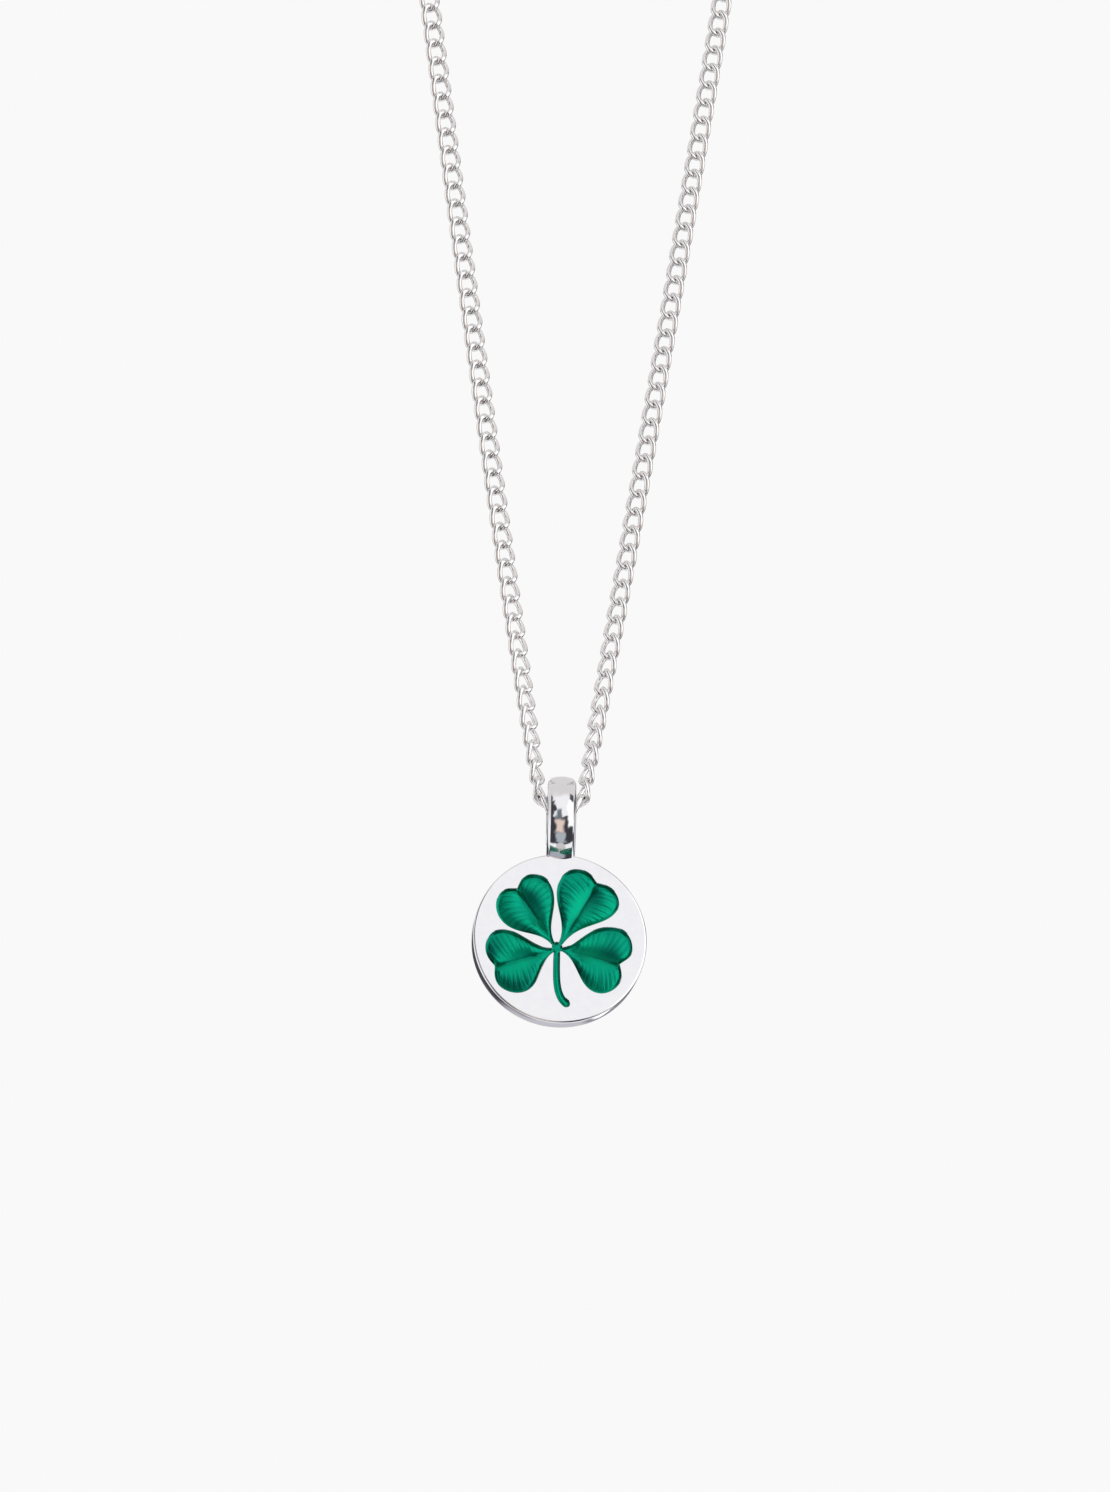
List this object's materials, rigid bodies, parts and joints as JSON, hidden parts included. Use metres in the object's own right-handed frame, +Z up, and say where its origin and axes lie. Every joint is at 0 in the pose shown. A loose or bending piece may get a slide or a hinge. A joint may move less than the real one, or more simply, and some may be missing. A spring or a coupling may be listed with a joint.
{
  "type": "four leaf clover pendant",
  "caption": "Round silver pendant with a green enamel clover set into its face, swinging by a soldered bail on a fine curb chain that closes with a plain ring clasp.",
  "frame": {"origin": "under the clasp ring, at the top of the loop, where the necklace hangs on a hook or peg", "axes": "+Z up along the hanging necklace, front of the disc towards -Y, +X to the right of someone who looks at the front"},
  "size_m": [0.0534, 0.007, 0.2282],
  "materials": {
    "silver": "polished sterling silver, bright, with faint polishing marks",
    "chain_silver": "polished silver wire, a little darker where the links cross",
    "green_enamel": "translucent green vitreous enamel over an engraved ground, glossy"
  },
  "bodies": {
    "necklace": {"chain_front": "chain_silver", "chain_back": "chain_silver", "jump_rings": "silver", "clasp": "silver"},
    "pendant": {"pendant_body": "silver", "clover_enamel": "green_enamel"}
  },
  "joints": [
    {"name": "pendant_swing", "type": "hinge", "parent": "necklace", "child": "pendant", "pos_m": [0, 0, -0.20493], "axis": [1, 0, 0], "range_deg": [-90, 90]}
  ]
}
